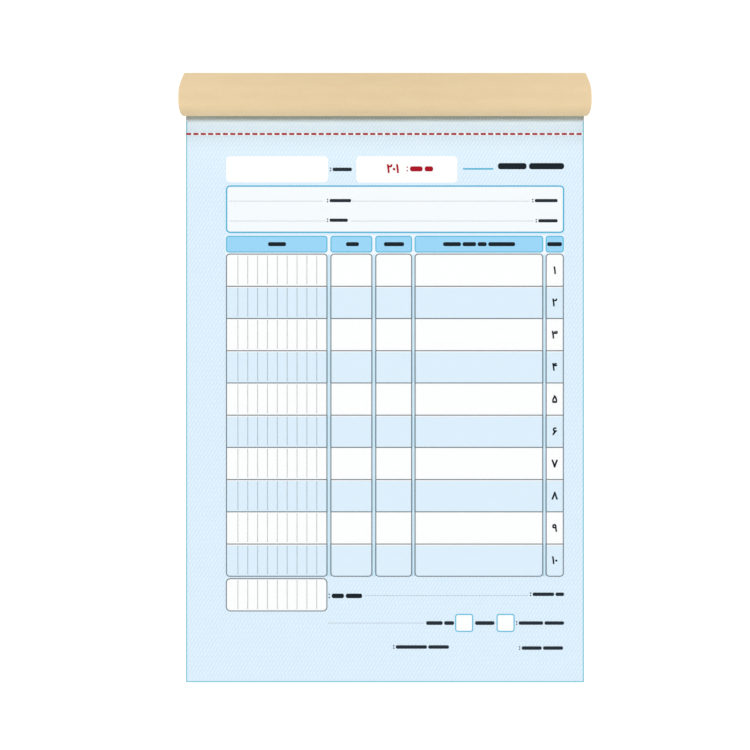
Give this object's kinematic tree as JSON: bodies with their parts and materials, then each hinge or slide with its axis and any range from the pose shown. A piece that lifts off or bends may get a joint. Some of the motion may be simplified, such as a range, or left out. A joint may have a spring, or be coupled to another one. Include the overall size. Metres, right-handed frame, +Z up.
{
  "type": "invoice book",
  "caption": "Stapled book of duplicate invoice leaves on a grey board, with a kraft card cover folded back over the head and under the book.",
  "frame": {"origin": "on the table, under the middle of the book's bounding box, at the underside of the folded-back cover", "axes": "+X across the book to the right as it is written in, +Y to the stapled head, +Z up out of the writing face"},
  "size_m": [0.149, 0.227, 0.0169],
  "materials": {
    "kraft_card": "matte, fine fibres, 0.4 mm kraft card",
    "grey_board": "matte recycled grey board, 1.2 mm",
    "original_paper": "matte, printed pale blue with a fine slanting ground pattern",
    "copy_paper": "matte yellow copy paper",
    "staple_wire": "bright drawn wire, 0.5 mm"
  },
  "bodies": {
    "pad": {"back_board": "grey_board", "staple_left": "staple_wire", "staple_right": "staple_wire", "cover_strip": "kraft_card", "set01_original_stub": "original_paper", "set01_copy": "copy_paper", "set02_original": "original_paper", "set02_copy": "copy_paper", "set03_original": "original_paper", "set03_copy": "copy_paper", "set04_original": "original_paper", "set04_copy": "copy_paper", "set05_original": "original_paper", "set05_copy": "copy_paper", "set06_original": "original_paper", "set06_copy": "copy_paper", "set07_original": "original_paper", "set07_copy": "copy_paper", "set08_original": "original_paper", "set08_copy": "copy_paper", "set09_original": "original_paper", "set09_copy": "copy_paper", "set10_original": "original_paper", "set10_copy": "copy_paper", "set11_original": "original_paper", "set11_copy": "copy_paper", "set12_original": "original_paper", "set12_copy": "copy_paper", "set13_original": "original_paper", "set13_copy": "copy_paper", "set14_original": "original_paper", "set14_copy": "copy_paper", "set15_original": "original_paper", "set15_copy": "copy_paper", "set16_original": "original_paper", "set16_copy": "copy_paper", "set17_original": "original_paper", "set17_copy": "copy_paper", "set18_original": "original_paper", "set18_copy": "copy_paper", "set19_original": "original_paper", "set19_copy": "copy_paper", "set20_original": "original_paper", "set20_copy": "copy_paper", "set21_original": "original_paper", "set21_copy": "copy_paper", "set22_original": "original_paper", "set22_copy": "copy_paper", "set23_original": "original_paper", "set23_copy": "copy_paper", "set24_original": "original_paper", "set24_copy": "copy_paper", "set25_original": "original_paper", "set25_copy": "copy_paper"},
    "front_roll": {"cover_front_roll": "kraft_card"},
    "crown": {"cover_crown": "kraft_card"},
    "shoulder": {"cover_shoulder": "kraft_card"},
    "back_bend": {"cover_back_bend": "kraft_card"},
    "flap": {"cover_flap": "kraft_card"},
    "form": {"set01_original_form": "original_paper"}
  },
  "joints": [
    {"name": "cover_lift", "type": "hinge", "parent": "pad", "child": "front_roll", "pos_m": [0, 0.09727, 0.00847], "axis": [1, 0, 0], "range_deg": [0, 89.9], "deforming": ["cover_front_roll"]},
    {"name": "cover_front_fold", "type": "hinge", "parent": "front_roll", "child": "crown", "pos_m": [0, 0.09727, 0.01567], "axis": [1, 0, 0], "range_deg": [0, 89.9], "deforming": ["cover_crown"]},
    {"name": "cover_shoulder_fold", "type": "hinge", "parent": "crown", "child": "shoulder", "pos_m": [0, 0.10392, 0.01598], "axis": [1, 0, 0], "range_deg": [0, 44.95], "deforming": ["cover_shoulder"]},
    {"name": "cover_back_fold", "type": "hinge", "parent": "shoulder", "child": "back_bend", "pos_m": [0, 0.11289, 0.00744], "axis": [1, 0, 0], "range_deg": [0, 44.95], "deforming": ["cover_back_bend"]},
    {"name": "cover_underside_fold", "type": "hinge", "parent": "back_bend", "child": "flap", "pos_m": [0, 0.11257, 0.0009], "axis": [1, 0, 0], "range_deg": [0, 89.9]},
    {"name": "form_lift", "type": "hinge", "parent": "pad", "child": "form", "pos_m": [0, 0.09052, 0.00721], "axis": [1, 0, 0], "range_deg": [-115, 0], "deforming": ["set01_original_form"]}
  ],
  "couplings": [
    {"joint": "cover_lift", "follows": "cover_underside_fold", "ratio": 1},
    {"joint": "cover_front_fold", "follows": "cover_underside_fold", "ratio": 1},
    {"joint": "cover_shoulder_fold", "follows": "cover_underside_fold", "ratio": 0.5},
    {"joint": "cover_back_fold", "follows": "cover_underside_fold", "ratio": 0.5}
  ]
}
